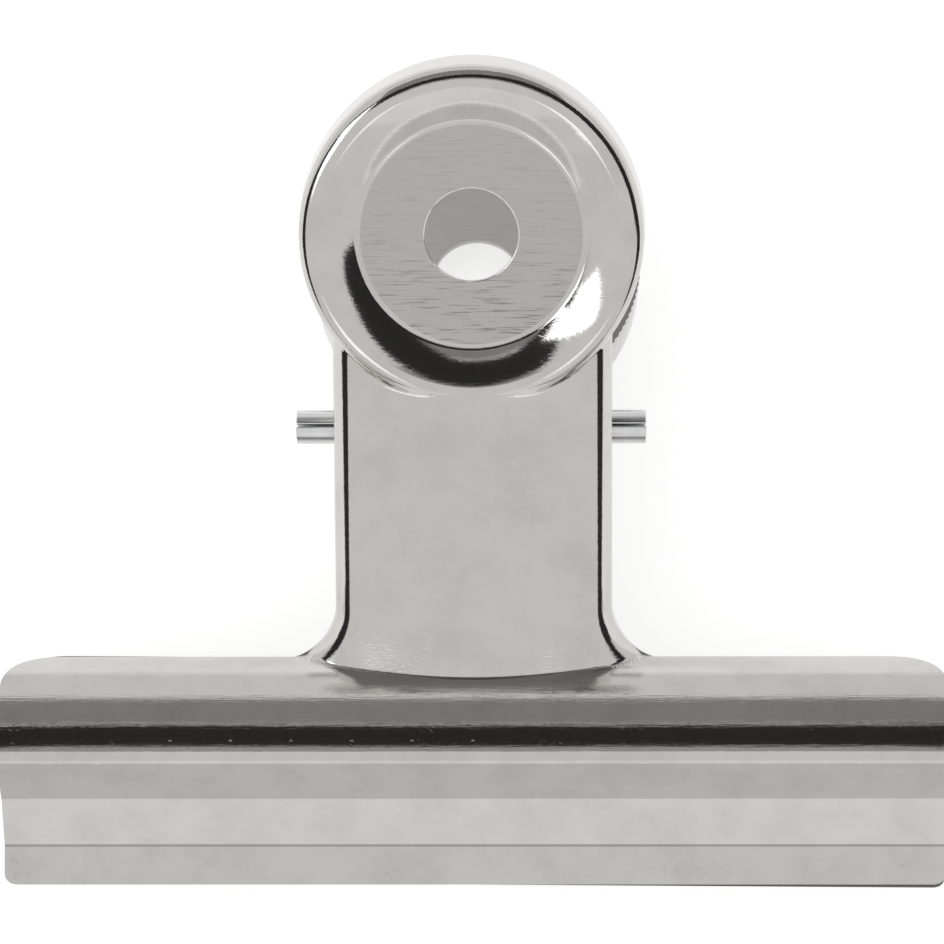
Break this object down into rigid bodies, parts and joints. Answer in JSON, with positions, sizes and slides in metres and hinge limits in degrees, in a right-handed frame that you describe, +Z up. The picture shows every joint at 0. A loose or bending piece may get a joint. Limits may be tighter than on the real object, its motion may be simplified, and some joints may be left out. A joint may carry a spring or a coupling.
{
  "type": "bulldog clip",
  "caption": "Sprung paper clip with two wide pressed-steel jaws, round thumb plates with hanging holes, a rolled hinge pin and a wound spring.",
  "frame": {"origin": "centre of the footprint, on the surface that the clip lies on", "axes": "+X along the jaws, +Y from the lips to the thumb plates, +Z up, out of the front plate"},
  "size_m": [0.075, 0.0662, 0.037],
  "materials": {
    "front_plate": "bright nickel-plated spring steel",
    "rear_plate": "bright nickel-plated spring steel",
    "hinge_pin": "plated rolled steel strip",
    "torsion_spring": "drawn spring wire"
  },
  "bodies": {
    "rear_half": {"rear_plate": "rear_plate", "hinge_pin": "hinge_pin", "torsion_spring": "torsion_spring"},
    "front_half": {"front_plate": "front_plate"}
  },
  "joints": [
    {"name": "jaw_hinge", "type": "hinge", "parent": "rear_half", "child": "front_half", "pos_m": [0, 0.00284, 0.01295], "axis": [-1, 0, 0], "range_deg": [0, 48], "stiffness_Nm_per_rad": 0.12, "springref_deg": -51.57, "deforming": ["torsion_spring"]}
  ]
}
